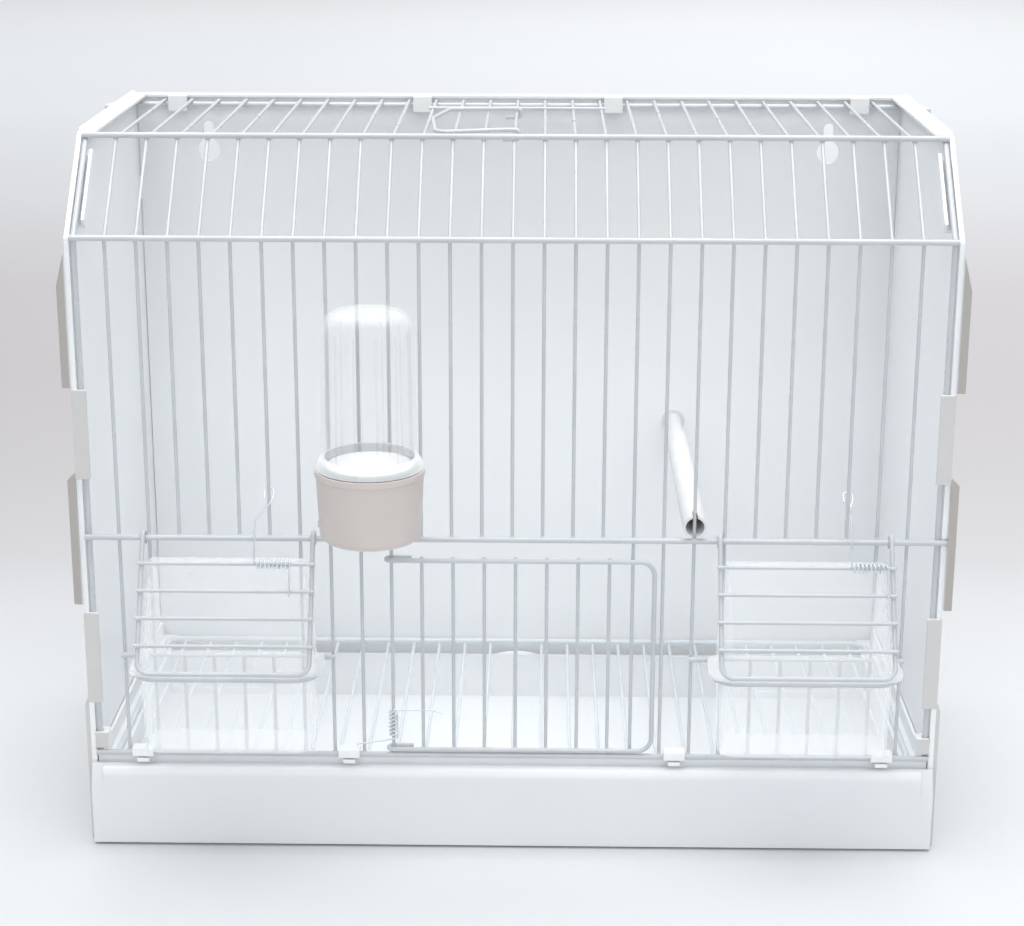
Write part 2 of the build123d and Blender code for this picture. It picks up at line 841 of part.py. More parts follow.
# Upright wires of the door
door_bar_y = door_y + frame_r + thin_r - weld_sink
door_bars_x = [hinge_x + door_bar_first + door_bar_pitch * number for number in range(door_bar_count)]
with BuildPart() as door_bars:
    with BuildSketch(level(door_low_z - door_bar_overhang)):
        with Locations(*[(place, door_bar_y) for place in door_bars_x]):
            Circle(thin_r)
    extrude(amount=door_high_z - door_low_z + door_bar_overhang * 2)
door_bars.part.label = "door_bars"
export_step(door_bars.part, "parts/door_bars.step")

# Door spring round the hinge wire, and the arm that presses on the door
coil_low_z = door_low_z + frame_r + door_spring_lift
coil_axis = Vector(hinge_x, front_y, coil_low_z)
coil_top = coil_axis + Vector(0, -door_spring_r, door_spring_turns * door_spring_pitch)
with BuildPart() as door_spring:
    with BuildLine() as door_coil:
        first, first_way = coil_state(
            coil_axis, Vector(0, -1, 0), right_way, Vector(0, 0, 1), door_spring_r, door_spring_pitch, 0
        )
        last, last_way = coil_state(
            coil_axis,
            Vector(0, -1, 0),
            right_way,
            Vector(0, 0, 1),
            door_spring_r,
            door_spring_pitch,
            door_spring_turns,
        )
        Line(first - first_way * door_spring_foot, first)
        coil(
            coil_axis,
            Vector(0, -1, 0),
            right_way,
            Vector(0, 0, 1),
            door_spring_r,
            door_spring_pitch,
            door_spring_turns,
        )
        Line(last, last + last_way * spring_d)
    with BuildSketch(end_plane(door_coil.line)):
        Circle(spring_r)
    sweep(path=door_coil.line)
door_spring.part.label = "door_spring"
export_step(door_spring.part, "parts/door_spring.step")

arm_z = coil_top.Z + spring_d + wire_gap
with BuildPart() as door_spring_arm:
    with BuildLine() as arm_path:
        FilletPolyline(
            (hinge_x, coil_top.Y, arm_z),
            (hinge_x + door_spring_arm_length, coil_top.Y, arm_z),
            (hinge_x + door_spring_arm_length + spring_tip, coil_top.Y - spring_tip_bend, arm_z - spring_tip_bend),
            radius=hook_r,
        )
    with BuildSketch(end_plane(arm_path.line)):
        Circle(spring_r)
    sweep(path=arm_path.line)
door_spring_arm.part.label = "door_spring_arm"
export_step(door_spring_arm.part, "parts/door_spring_arm.step")

# Lines of a feeder flap in its own plane: down the flap, and out from it
lean = radians(flap_lean)
flap_down = Vector(0, -sin(lean), -cos(lean))
flap_out = Vector(0, -cos(lean), sin(lean))
flap_loop_r = rail_r + wire_gap + frame_r
flap_bar_out = flap_loop_r + frame_r + thin_r - weld_sink
feeder_x = [wire_x(number + feeder_pitches / 2) + feeder_shift for number in feeder_wires]


def flap_point(place, down, out):
    """A point of the closed flap, from its hinge line."""
    return Vector(place, rail_y, middle_rail_z) + flap_down * down + flap_out * out


# Flap frame on the left, hooked over the middle rail
left_x = feeder_x[0]
with BuildPart() as left_flap_frame:
    with BuildLine() as flap_path:
        Line(
            flap_point(left_x - flap_half, flap_tail, -flap_loop_r),
            flap_point(left_x - flap_half, 0, -flap_loop_r),
        )
        ThreePointArc(
            flap_point(left_x - flap_half, 0, -flap_loop_r),
            flap_point(left_x - flap_half, -flap_loop_r, 0),
            flap_point(left_x - flap_half, 0, flap_loop_r),
        )
        FilletPolyline(
            flap_point(left_x - flap_half, 0, flap_loop_r),
            flap_point(left_x - flap_half, flap_length, flap_loop_r),
            flap_point(left_x + flap_half, flap_length, flap_loop_r),
            flap_point(left_x + flap_half, 0, flap_loop_r),
            radius=flap_corner_r,
        )
        ThreePointArc(
            flap_point(left_x + flap_half, 0, flap_loop_r),
            flap_point(left_x + flap_half, -flap_loop_r, 0),
            flap_point(left_x + flap_half, 0, -flap_loop_r),
        )
        Line(
            flap_point(left_x + flap_half, 0, -flap_loop_r),
            flap_point(left_x + flap_half, flap_tail, -flap_loop_r),
        )
    with BuildSketch(end_plane(flap_path.line)):
        Circle(frame_r)
    sweep(path=flap_path.line)
left_flap_frame.part.label = "left_flap_frame"
export_step(left_flap_frame.part, "parts/left_flap_frame.step")

# Cross wires of the left flap
flap_bar_half = flap_half + flap_bar_overhang
flap_bars_down = [flap_bar_first + flap_bar_pitch * number for number in range(flap_bar_count)]
bar_points = [flap_point(0, down, flap_bar_out) for down in flap_bars_down]
with BuildPart() as left_flap_bars:
    with BuildSketch(sideways(left_x - flap_bar_half)):
        with Locations(*[(point.Y, point.Z) for point in bar_points]):
            Circle(thin_r)
    extrude(amount=flap_bar_half * 2)
left_flap_bars.part.label = "left_flap_bars"
export_step(left_flap_bars.part, "parts/left_flap_bars.step")

# Flap frame and cross wires on the right
with BuildPart() as right_flap_frame:
    with Locations((feeder_step, 0, 0)):
        add(left_flap_frame.part)
right_flap_frame.part.label = "right_flap_frame"
export_step(right_flap_frame.part, "parts/right_flap_frame.step")

with BuildPart() as right_flap_bars:
    with Locations((feeder_step, 0, 0)):
        add(left_flap_bars.part)
right_flap_bars.part.label = "right_flap_bars"
export_step(right_flap_bars.part, "parts/right_flap_bars.step")

# Flap springs round the top cross wires, wound from right to left
flap_coil_length = flap_spring_turns * flap_spring_pitch
flap_up = flap_down * -1
left_way = right_way * -1


def flap_coil_center(side):
    """The right end of a flap spring's middle line."""
    return flap_point(feeder_x[side] + flap_spring_starts[side] + flap_coil_length, flap_bar_first, flap_bar_out)


def flap_coil_line(side):
    """The whole wire of a flap spring, in the line that is being built."""
    center = flap_coil_center(side)
    first, first_way = coil_state(center, flap_out, flap_up, left_way, flap_spring_r, flap_spring_pitch, 0)
    last, last_way = coil_state(
        center, flap_out, flap_up, left_way, flap_spring_r, flap_spring_pitch, flap_spring_turns
    )
    leg_top = first + flap_down * flap_spring_lead
    Line(leg_top + flap_down * (flap_spring_leg - flap_spring_lead), leg_top)
    biarc(leg_top, flap_up, first, first_way)
    coil(center, flap_out, flap_up, left_way, flap_spring_r, flap_spring_pitch, flap_spring_turns)
    Line(last, last + last_way * spring_d)


with BuildPart() as left_flap_spring:
    with BuildLine() as left_coil:
        flap_coil_line(0)
    with BuildSketch(end_plane(left_coil.line)):
        Circle(spring_r)
    sweep(path=left_coil.line)
left_flap_spring.part.label = "left_flap_spring"
export_step(left_flap_spring.part, "parts/left_flap_spring.step")

with BuildPart() as right_flap_spring:
    with BuildLine() as right_coil:
        flap_coil_line(1)
    with BuildSketch(end_plane(right_coil.line)):
        Circle(spring_r)
    sweep(path=right_coil.line)
right_flap_spring.part.label = "right_flap_spring"
export_step(right_flap_spring.part, "parts/right_flap_spring.step")


hook_tilt = radians(hook_eye_tilt)
hook_slope = Vector(0, cos(hook_tilt), sin(hook_tilt))


def hook_eye_point(side, turn, slide=0):
    """A point of the long tilted eye round a front wire, by its turn from the front and its slide to the rear."""
    angle = radians(turn)
    center = Vector(wire_x(hook_pitches) + side * feeder_step, front_y, hook_eye_z) + hook_slope * slide
    return center + right_way * (hook_eye_r * sin(angle)) - hook_slope * (hook_eye_r * cos(angle))


def hook_line(side):
    """The upper arm of a flap spring with its eye, in the line that is being built."""
    start = flap_coil_center(side) + left_way * (flap_coil_length + spring_d + wire_gap)
    start = start + flap_out * flap_spring_r
    turn = radians(hook_eye_start)
    eye_way = right_way * cos(turn) + hook_slope * sin(turn)
    eye = hook_eye_point(side, hook_eye_start)
    FilletPolyline(
        start,
        Vector(start.X, front_y - hook_knee_front, hook_knee_z),
        eye - eye_way * hook_lead,
        eye,
        radius=hook_r,
    )
    right_side = hook_eye_point(side, 90)
    right_rear = hook_eye_point(side, 90, hook_eye_slide)
    left_rear = hook_eye_point(side, 270, hook_eye_slide)
    left_side = hook_eye_point(side, 270)
    ThreePointArc(eye, hook_eye_point(side, (hook_eye_start + 90) / 2), right_side)
    Line(right_side, right_rear)
    ThreePointArc(right_rear, hook_eye_point(side, 180, hook_eye_slide), left_rear)
    Line(left_rear, left_side)
    ThreePointArc(left_side, hook_eye_point(side, (270 + hook_eye_end) / 2), hook_eye_point(side, hook_eye_end))


# Upper arms of the flap springs
with BuildPart() as left_flap_hook:
    with BuildLine() as left_hook_path:
        hook_line(0)
    with BuildSketch(end_plane(left_hook_path.line)):
        Circle(spring_r)
    sweep(path=left_hook_path.line)
left_flap_hook.part.label = "left_flap_hook"
export_step(left_flap_hook.part, "parts/left_flap_hook.step")

with BuildPart() as right_flap_hook:
    with BuildLine() as right_hook_path:
        hook_line(1)
    with BuildSketch(end_plane(right_hook_path.line)):
        Circle(spring_r)
    sweep(path=right_hook_path.line)
right_flap_hook.part.label = "right_flap_hook"
export_step(right_flap_hook.part, "parts/right_flap_hook.step")

# Wire basket that holds the left cup
basket_left_x = left_x - basket_half
basket_right_x = left_x + basket_half
with BuildPart() as left_basket:
    with BuildLine() as basket_path:
        FilletPolyline(
            (wire_x(feeder_wires[0] - 1) - basket_stub, rail_y, sill_z),
            (basket_left_x, rail_y, sill_z),
            (basket_left_x, front_y - basket_front + basket_corner_r * 2, sill_z),
            radius=basket_foot_r,
        )
        FilletPolyline(
            (basket_left_x, front_y - basket_front + basket_corner_r * 2, sill_z),
            (basket_left_x, front_y - basket_front, sill_z),
            (basket_right_x, front_y - basket_front, sill_z),
            (basket_right_x, front_y - basket_front + basket_corner_r * 2, sill_z),
            radius=basket_corner_r,
        )
        FilletPolyline(
            (basket_right_x, front_y - basket_front + basket_corner_r * 2, sill_z),
            (basket_right_x, rail_y, sill_z),
            (wire_x(feeder_wires[0] + feeder_pitches + 1) + basket_stub, rail_y, sill_z),
            radius=basket_foot_r,
        )
    with BuildSketch(end_plane(basket_path.line)):
        Circle(rail_r)
    sweep(path=basket_path.line)
left_basket.part.label = "left_basket"
export_step(left_basket.part, "parts/left_basket.step")

with BuildPart() as right_basket:
    with Locations((feeder_step, 0, 0)):
        add(left_basket.part)
right_basket.part.label = "right_basket"
export_step(right_basket.part, "parts/right_basket.step")

# Feeder cup on the left: a hooded box that narrows to the top, open to the cage
cup_back_y = front_y - cup_back_gap
flange_low_z = sill_z + rail_r + wire_gap
flange_high_z = flange_low_z + cup_flange_wall
cup_heights = [cup_bottom_z, cup_shoulder_z, cup_top_z]
cup_halves = [cup_bottom_half, cup_shoulder_half, cup_top_half]
cup_depths = [cup_bottom_depth, cup_shoulder_depth, cup_top_depth]
cup_lift = [cup_wall, 0, -cup_wall]
cup_rounds = [cup_corner_r, cup_corner_r, cup_top_round]
flange_share = (flange_low_z - cup_bottom_z) / (cup_shoulder_z - cup_bottom_z)
flange_half = cup_bottom_half + (cup_shoulder_half - cup_bottom_half) * flange_share
flange_depth = cup_bottom_depth + (cup_shoulder_depth - cup_bottom_depth) * flange_share
hood_run = cup_shoulder_depth - cup_top_depth
hood_rise = cup_top_z - cup_shoulder_z
hood_along = unit(Vector(0, hood_run, hood_rise))
hood_out = unit(Vector(0, -hood_rise, hood_run))
recess_center = Vector(left_x, cup_back_y - cup_top_depth, cup_top_z)
recess_center = recess_center - hood_along * (cup_recess_drop + cup_recess_height / 2)
with BuildPart() as left_cup:
    for height, half, depth, corner in zip(cup_heights, cup_halves, cup_depths, cup_rounds):
        with BuildSketch(level(height)):
            with Locations((left_x, cup_back_y - depth / 2)):
                RectangleRounded(half * 2, depth, corner)
    loft(ruled=True)
    with BuildSketch(level(flange_low_z)):
        with Locations((left_x, cup_back_y - (flange_depth + cup_flange_lap) / 2)):
            RectangleRounded((flange_half + cup_flange_lap) * 2, flange_depth + cup_flange_lap, cup_corner_r)
    extrude(amount=cup_flange_wall)
    for height, half, depth, lift, corner in zip(cup_heights, cup_halves, cup_depths, cup_lift, cup_rounds):
        with BuildSketch(level(height + lift)):
            with Locations((left_x, cup_back_y - depth / 2)):
                RectangleRounded((half - cup_wall) * 2, depth - cup_wall * 2, corner - cup_wall)
    loft(ruled=True, mode=Mode.SUBTRACT)
    span_box(
        (left_x - cup_top_half + cup_mouth_margin, left_x + cup_top_half - cup_mouth_margin),
        (cup_back_y - cup_wall, cup_back_y),
        (flange_high_z, cup_top_z - cup_mouth_margin),
        mode=Mode.SUBTRACT,
    )
    with BuildSketch(Plane(origin=recess_center, x_dir=(1, 0, 0), z_dir=hood_out)):
        RectangleRounded(cup_recess_half * 2, cup_recess_height, cup_recess_round)
    extrude(amount=-cup_recess_depth, mode=Mode.SUBTRACT)
left_cup.part.label = "left_cup"
export_step(left_cup.part, "parts/left_cup.step")

with BuildPart() as right_cup:
    with Locations((feeder_step, 0, 0)):
        add(left_cup.part)
right_cup.part.label = "right_cup"
export_step(right_cup.part, "parts/right_cup.step")

# Drinker: round base, bracket on the middle rail and spout into the cage
drinker_x = wire_x(drinker_pitches)
drinker_y = front_y - drinker_front
drinker_low_z = middle_rail_z + rail_r + drinker_rise
drinker_rim_z = drinker_low_z + drinker_height
tube_low_z = drinker_rim_z - drinker_well_depth
bracket_low_z = middle_rail_z + rail_r + wire_gap
bracket_back_y = front_y - thin_r - wire_gap
bracket_front_y = bracket_back_y - bracket_wall
spout_low_z = bracket_low_z
spout_back_y = front_y + spout_reach
neck_front_y = drinker_y + drinker_well_r
seat_r = tube_foot_r + tube_gap
drinker_plane = Plane(origin=(drinker_x, drinker_y, 0), x_dir=(1, 0, 0), z_dir=(0, -1, 0))
drinker_axis = Axis((drinker_x, drinker_y, 0), (0, 0, 1))
with BuildPart() as drinker_base:
    with BuildSketch(drinker_plane):
        with BuildLine():
            Polyline(
                (0, drinker_low_z),
                (drinker_foot_r, drinker_low_z),
                (drinker_rim_r - drinker_rim_step, drinker_rim_z - drinker_rim_height),
                (drinker_rim_r, drinker_rim_z - drinker_rim_height),
                (drinker_rim_r, drinker_rim_z),
                (0, drinker_rim_z),
                close=True,
            )
        make_face()
    revolve(axis=drinker_axis)
    fillet(edges().group_by(Axis.Z)[0], radius=drinker_edge_r)
    span_box(
        (drinker_x - neck_half, drinker_x + neck_half),
        (neck_front_y, bracket_back_y),
        (bracket_low_z, bracket_low_z + bracket_height),
    )
    span_box(
        (drinker_x - bracket_half, drinker_x + bracket_half),
        (bracket_front_y, bracket_back_y),
        (bracket_low_z, bracket_low_z + bracket_height),
    )
    span_box(
        (drinker_x - bracket_half - bracket_hook_reach, drinker_x - bracket_half),
        (bracket_front_y, bracket_back_y),
        (bracket_low_z + bracket_hook_lift, bracket_low_z + bracket_hook_lift + bracket_hook_height),
    )
    span_box(
        (drinker_x - spout_half, drinker_x + spout_half),
        (bracket_back_y, spout_back_y),
        (spout_low_z, spout_low_z + spout_height),
    )
    with BuildSketch(drinker_plane):
        with BuildLine():
            Polyline(
                (0, tube_low_z),
                (seat_r, tube_low_z),
                (seat_r, drinker_rim_z - drinker_lip_drop),
                (drinker_rim_r - drinker_lip_wall, drinker_rim_z),
                (0, drinker_rim_z),
                close=True,
            )
        make_face()
    revolve(axis=drinker_axis, mode=Mode.SUBTRACT)
    with BuildSketch(level(drinker_low_z + drinker_wall)):
        with Locations((drinker_x, drinker_y)):
            Circle(drinker_well_r)
    extrude(amount=tube_low_z - drinker_low_z - drinker_wall, mode=Mode.SUBTRACT)
    span_box(
        (drinker_x - spout_half + spout_wall, drinker_x + spout_half - spout_wall),
        (bracket_back_y, spout_back_y - spout_wall),
        (spout_low_z + spout_wall, spout_low_z + spout_height),
        mode=Mode.SUBTRACT,
    )
    span_box(
        (drinker_x - spout_half + spout_wall, drinker_x + spout_half - spout_wall),
        (neck_front_y - spout_wall, bracket_back_y),
        (spout_low_z + spout_wall, spout_low_z + spout_height - spout_wall),
        mode=Mode.SUBTRACT,
    )
drinker_base.part.label = "drinker_base"
export_step(drinker_base.part, "parts/drinker_base.step")

# Clear tube that stands in the drinker base and narrows a little to its rounded top
tube_top_z = drinker_rim_z + tube_rise
dome_low_z = tube_top_z - tube_dome_r
dome_x = tube_r - tube_dome_r
with BuildPart() as drinker_tube:
    with BuildSketch(drinker_plane):
        with BuildLine():
            Line((0, tube_top_z), (dome_x, tube_top_z))
            CenterArc((dome_x, dome_low_z), tube_dome_r, 0, 90)
            Line((tube_r, dome_low_z), (tube_foot_r, drinker_rim_z))
            Line((tube_foot_r, drinker_rim_z), (tube_foot_r, tube_low_z))
            Line((tube_foot_r, tube_low_z), (tube_foot_r - tube_wall, tube_low_z))
            Line((tube_foot_r - tube_wall, tube_low_z), (tube_foot_r - tube_wall, drinker_rim_z))
            Line((tube_foot_r - tube_wall, drinker_rim_z), (tube_r - tube_wall, dome_low_z))
            CenterArc((dome_x, dome_low_z), tube_dome_r - tube_wall, 0, 90)
            Line((dome_x, tube_top_z - tube_wall), (0, tube_top_z - tube_wall))
            Line((0, tube_top_z - tube_wall), (0, tube_top_z))
        make_face()
    revolve(axis=drinker_axis)
drinker_tube.part.label = "drinker_tube"
export_step(drinker_tube.part, "parts/drinker_tube.step")

# Perch tube, slotted to sit over one front wire
perch_x = wire_x(perch_pitches)
perch_z = middle_rail_z + rail_r + perch_r + wire_gap
perch_front_y = front_y - perch_front
perch_back_y = perch_front_y + perch_length
perch_slot_half = thin_r + perch_slot_gap
with BuildPart() as perch:
    with BuildSketch(facing(perch_back_y)):
        with Locations((perch_x, perch_z)):
            Circle(perch_r)
            Circle(perch_bore_r, mode=Mode.SUBTRACT)
    extrude(amount=perch_length)
    span_box(
        (perch_x - perch_slot_half, perch_x + perch_slot_half),
        (perch_front_y, perch_front_y + perch_slot_depth),
        (perch_z - perch_r, perch_z + perch_r),
        mode=Mode.SUBTRACT,
    )
perch.part.label = "perch"
export_step(perch.part, "parts/perch.step")

# Peg on the back panel that the perch slides over
with BuildPart() as perch_peg:
    with BuildSketch(facing(panel_y)):
        with Locations((perch_x, perch_z)):
            Circle(perch_bore_r - peg_gap)
    extrude(amount=peg_length)
    with BuildSketch(facing(panel_y)):
        with Locations((perch_x, perch_z)):
            Circle(peg_flange_r)
    extrude(amount=peg_flange_wall)
perch_peg.part.label = "perch_peg"
export_step(perch_peg.part, "parts/perch_peg.step")

# Carrying handle, hooked round one roof wire
handle_loop_r = thin_r + wire_gap + handle_r
handle_x = wire_x(handle_pitches)
handle_high_z = roof_z + handle_loop_r
handle_low_z = roof_z - handle_loop_r
handle_front_y = front_y + handle_front
handle_back_y = front_y + handle_back
with BuildPart() as roof_handle:
    with BuildLine() as handle_path:
        Line((handle_x - handle_tail, handle_front_y, handle_low_z), (handle_x, handle_front_y, handle_low_z))
        ThreePointArc(
            (handle_x, handle_front_y, handle_low_z),
            (handle_x + handle_loop_r, handle_front_y, roof_z),
            (handle_x, handle_front_y, handle_high_z),
        )
        FilletPolyline(
            (handle_x, handle_front_y, handle_high_z),
            (handle_x - handle_tail, handle_front_y, handle_high_z),
            (handle_x - handle_reach, handle_front_y - handle_toe, handle_high_z),
            (handle_x - handle_reach - handle_bow, (handle_front_y + handle_back_y) / 2, handle_high_z),
            (handle_x - handle_reach + handle_bow, handle_back_y - handle_bow, handle_high_z),
            (handle_x - handle_tail, handle_back_y, handle_high_z),
            (handle_x, handle_back_y, handle_high_z),
            radius=handle_corner_r,
        )
        ThreePointArc(
            (handle_x, handle_back_y, handle_high_z),
            (handle_x + handle_loop_r, handle_back_y, roof_z),
            (handle_x, handle_back_y, handle_low_z),
        )
        Line((handle_x, handle_back_y, handle_low_z), (handle_x - handle_tail, handle_back_y, handle_low_z))
    with BuildSketch(end_plane(handle_path.line)):
        Circle(handle_r)
    sweep(path=handle_path.line)
roof_handle.part.label = "roof_handle"
export_step(roof_handle.part, "parts/roof_handle.step")

print("least gap in the door spring", round(coil_gap(door_spring_r, door_spring_pitch), 2))
print("least gap in the flap springs", round(coil_gap(flap_spring_r, flap_spring_pitch), 2))
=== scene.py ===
"""Looks of the bird show cage, piece by piece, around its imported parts. Metres throughout."""
import bpy
import bmesh
from math import cos, pi, radians, sin
from mathutils import Matrix, Vector


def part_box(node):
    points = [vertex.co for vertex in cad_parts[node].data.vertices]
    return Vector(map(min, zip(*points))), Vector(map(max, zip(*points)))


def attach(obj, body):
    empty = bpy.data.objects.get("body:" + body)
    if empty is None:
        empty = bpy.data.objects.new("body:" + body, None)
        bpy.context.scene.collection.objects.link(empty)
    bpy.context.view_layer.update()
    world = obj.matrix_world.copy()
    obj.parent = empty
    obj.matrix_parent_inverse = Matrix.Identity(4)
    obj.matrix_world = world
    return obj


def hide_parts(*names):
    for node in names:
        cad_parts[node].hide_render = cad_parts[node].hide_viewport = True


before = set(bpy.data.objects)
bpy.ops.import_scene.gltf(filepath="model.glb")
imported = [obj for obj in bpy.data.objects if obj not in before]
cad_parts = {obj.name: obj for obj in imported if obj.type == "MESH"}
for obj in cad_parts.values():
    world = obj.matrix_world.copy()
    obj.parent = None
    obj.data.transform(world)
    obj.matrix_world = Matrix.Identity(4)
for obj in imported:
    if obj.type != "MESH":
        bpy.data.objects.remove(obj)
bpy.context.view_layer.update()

# Camera
# The photograph's own viewpoint: a long lens under a metre away, a little right of the middle and
# above the roof, looking slightly down.
camera_place = Vector((0.01167, -0.91482, 0.42803))
camera_dip = radians(16.766)
camera_yaw = radians(-0.791)
camera_roll = radians(0.161)
lens_length = 77.1
sensor_width = 36
look = Vector((sin(camera_yaw) * cos(camera_dip), cos(camera_yaw) * cos(camera_dip), -sin(camera_dip)))
level_right = Vector((cos(camera_yaw), -sin(camera_yaw), 0))
level_up = level_right.cross(look)
camera_right = level_right * cos(camera_roll) + level_up * sin(camera_roll)
camera_up = level_up * cos(camera_roll) - level_right * sin(camera_roll)
camera_data = bpy.data.cameras.new("camera")
camera_data.sensor_width = sensor_width
camera_data.lens = lens_length
camera = bpy.data.objects.new("camera", camera_data)
bpy.context.scene.collection.objects.link(camera)
camera_turn = Matrix((camera_right, camera_up, -look)).transposed()
camera.matrix_world = Matrix.Translation(camera_place) @ camera_turn.to_4x4()
bpy.context.scene.camera = camera

# Table top
# A sheet of pale matt paper that runs far behind the cage and out to both sides. Its colour carries
# painted shade: a greyer, warmer band in its middle distance and a darker left side. Its fibres give it a
# fine tooth.
smooth_turn = radians(38)


def put(name, form, finish):
    """Makes a named piece of a bmesh, smooth but for its sharp corners, and frees the bmesh."""
    mesh = bpy.data.meshes.new(name)
    form.to_mesh(mesh)
    form.free()
    mesh.polygons.foreach_set("use_smooth", [True] * len(mesh.polygons))
    mesh.set_sharp_from_angle(angle=smooth_turn)
    mesh.materials.append(finish)
    piece = bpy.data.objects.new(name, mesh)
    bpy.context.scene.collection.objects.link(piece)
    return piece


def new_finish(name):
    """A new material, its tree, its Principled shader and its Object coordinates."""
    material = bpy.data.materials.new(name)
    material.use_nodes = True
    tree = material.node_tree
    place = tree.nodes.new("ShaderNodeTexCoord").outputs["Object"]
    return material, tree, tree.nodes["Principled BSDF"], place


def feed(tree, node, feeds):
    """Sets inputs of a node, each to a value or to the socket that feeds it."""
    for label, value in feeds.items():
        if isinstance(value, bpy.types.NodeSocket):
            tree.links.new(value, node.inputs[label])
        else:
            node.inputs[label].default_value = value


def step(tree, kind, feeds, **settings):
    """A new shader node with its settings and its inputs."""
    node = tree.nodes.new("ShaderNode" + kind)
    for label, value in settings.items():
        setattr(node, label, value)
    feed(tree, node, feeds)
    return node


def ramp(tree, value, start, end, low=0.0, high=1.0):
    """A value that goes from low to high while another goes from start to end."""
    ends = {"From Min": start, "From Max": end, "To Min": low, "To Max": high}
    return step(tree, "MapRange", {"Value": value, **ends}).outputs[0]


def blend(tree, share, first, last, way="MIX"):
    """Two colours mixed by a share, or multiplied. A Mix node's colours are inputs 6 and 7, output 2."""
    node = step(tree, "Mix", {0: share, 6: first, 7: last}, data_type="RGBA", blend_type=way)
    return node.outputs[2]


paper_reach = 9.0
paper_near_y = -0.3
paper_far_y = 3.7
paper_side_x = 0.5
paper_left_shade = 0.88
paper_fibre_scale = 900.0
paper_tone = Vector((0.957, 0.985, 1.004))
paper_warmth = Vector((0.08, 0, 0))
paper_shade_stops = [
    # Each stop of painted shade: its share of the way back, its brightness and how warm it is.
    (0.04, 0.72, 0.0), (0.062, 0.79, 0.0), (0.09, 0.77, 0.1), (0.12, 0.67, 0.2),
    (0.152, 0.56, 0.5), (0.197, 0.52, 0.8), (0.257, 0.53, 1.0), (0.34, 0.6, 1.0),
    (0.46, 0.8, 0.4), (0.64, 0.96, 0.1), (1.0, 1.0, 0.0),
]
paper_form = bmesh.new()
bmesh.ops.create_grid(paper_form, x_segments=1, y_segments=1, size=paper_reach)
paper_finish, paper_tree, paper_shader, paper_place = new_finish("pale_paper")
paper_axes = step(paper_tree, "SeparateXYZ", {"Vector": paper_place}).outputs
paper_depth = ramp(paper_tree, paper_axes["Y"], paper_near_y, paper_far_y)
# Painted shade: the paper is drawn darker towards the left.
paper_side = ramp(paper_tree, paper_axes["X"], -paper_side_x, paper_side_x, low=paper_left_shade)
paper_ramp = step(paper_tree, "ValToRGB", {"Fac": paper_depth})
for spot, brightness, warmth in paper_shade_stops:
    stop = paper_ramp.color_ramp.elements.new(spot)
    stop.color = (*(brightness * (paper_tone + warmth * paper_warmth)), 1)
paper_ramp.color_ramp.elements.remove(paper_ramp.color_ramp.elements[0])
paper_ramp.color_ramp.elements.remove(paper_ramp.color_ramp.elements[-1])
paper_color = blend(paper_tree, 1.0, paper_ramp.outputs["Color"], paper_side, "MULTIPLY")
paper_fibre = step(
    paper_tree, "TexNoise", {"Vector": paper_place, "Scale": paper_fibre_scale, "Detail": 3.0}
)
paper_tooth = step(
    paper_tree, "Bump", {"Height": paper_fibre.outputs["Fac"], "Distance": 0.0001, "Strength": 0.3}
)
feed(
    paper_tree, paper_shader,
    {"Base Color": paper_color, "Roughness": 0.7, "Normal": paper_tooth.outputs["Normal"]},
)
paper = put("table_top", paper_form, paper_finish)


# Light
# Three wide soft lights, overhead, behind the camera and over the far paper, which keep the shadows
# faint. The pale room round them is dimmer to its sides, so that round wires show their edges.
def reckon(tree, way, first, second=0.0):
    """What a Math node makes of one value or two."""
    return step(tree, "Math", {0: first, 1: second}, operation=way).outputs[0]


def soft_light(name, place, aim, width, depth, watts):
    """A rectangular light that faces the point it is aimed at."""
    light_data = bpy.data.lights.new(name, "AREA")
    light_data.shape = "RECTANGLE"
    light_data.size = width
    light_data.size_y = depth
    light_data.energy = watts
    light = bpy.data.objects.new(name, light_data)
    light.location = place
    light.rotation_euler = (aim - place).to_track_quat("-Z", "Y").to_euler()
    bpy.context.scene.collection.objects.link(light)


room_color = (0.93, 0.965, 1.0, 1)
room_middle_strength = 0.72
room_side_strength = 0.25
room_dims_from = 0.35
room_dims_to = 0.95
room = bpy.data.worlds.new("pale_room")
room.use_nodes = True
bpy.context.scene.world = room
room_tree = room.node_tree
room_place = room_tree.nodes.new("ShaderNodeTexCoord").outputs["Generated"]
room_axes = step(room_tree, "SeparateXYZ", {"Vector": room_place}).outputs
room_side = reckon(room_tree, "ABSOLUTE", room_axes["X"])
room_strength = ramp(
    room_tree, room_side, room_dims_from, room_dims_to, room_middle_strength, room_side_strength
)
feed(room_tree, room_tree.nodes["Background"], {"Color": room_color, "Strength": room_strength})

cage_middle = Vector((0, 0, 0.15))
far_paper = Vector((0, 3.1, 0))
soft_light("overhead", Vector((0, 0, 1.5)), cage_middle, width=1.8, depth=1.2, watts=22)
soft_light("front", Vector((0.2, -2.2, 1.3)), cage_middle, width=2.2, depth=1.4, watts=12)
soft_light("backdrop", far_paper + Vector((0, 0, 2.2)), far_paper, width=3.0, depth=2.0, watts=28)
bpy.context.scene.view_settings.view_transform = "Standard"


# Shell
# Two side panels, a back panel and a base frame that snap together at lugs, and a tray that slides
# in the base. All are injection moulded in smooth white plastic, which leaves their corners lightly
# rounded and their faces a little wavy. Painted shade darkens the back panel's upper part, the side
# panels' lugs and outer edges, and the tray's front face.
def effect(name, feeds, results):
    """A new shader node group with named inputs and outputs: its inputs' sockets and its end node."""
    group = bpy.data.node_groups.new(name, "ShaderNodeTree")
    for label, kind, value in feeds:
        socket = group.interface.new_socket(label, in_out="INPUT", socket_type="NodeSocket" + kind)
        socket.default_value = value
    for label, kind in results:
        group.interface.new_socket(label, in_out="OUTPUT", socket_type="NodeSocket" + kind)
    return group, group.nodes.new("NodeGroupInput").outputs, group.nodes.new("NodeGroupOutput")


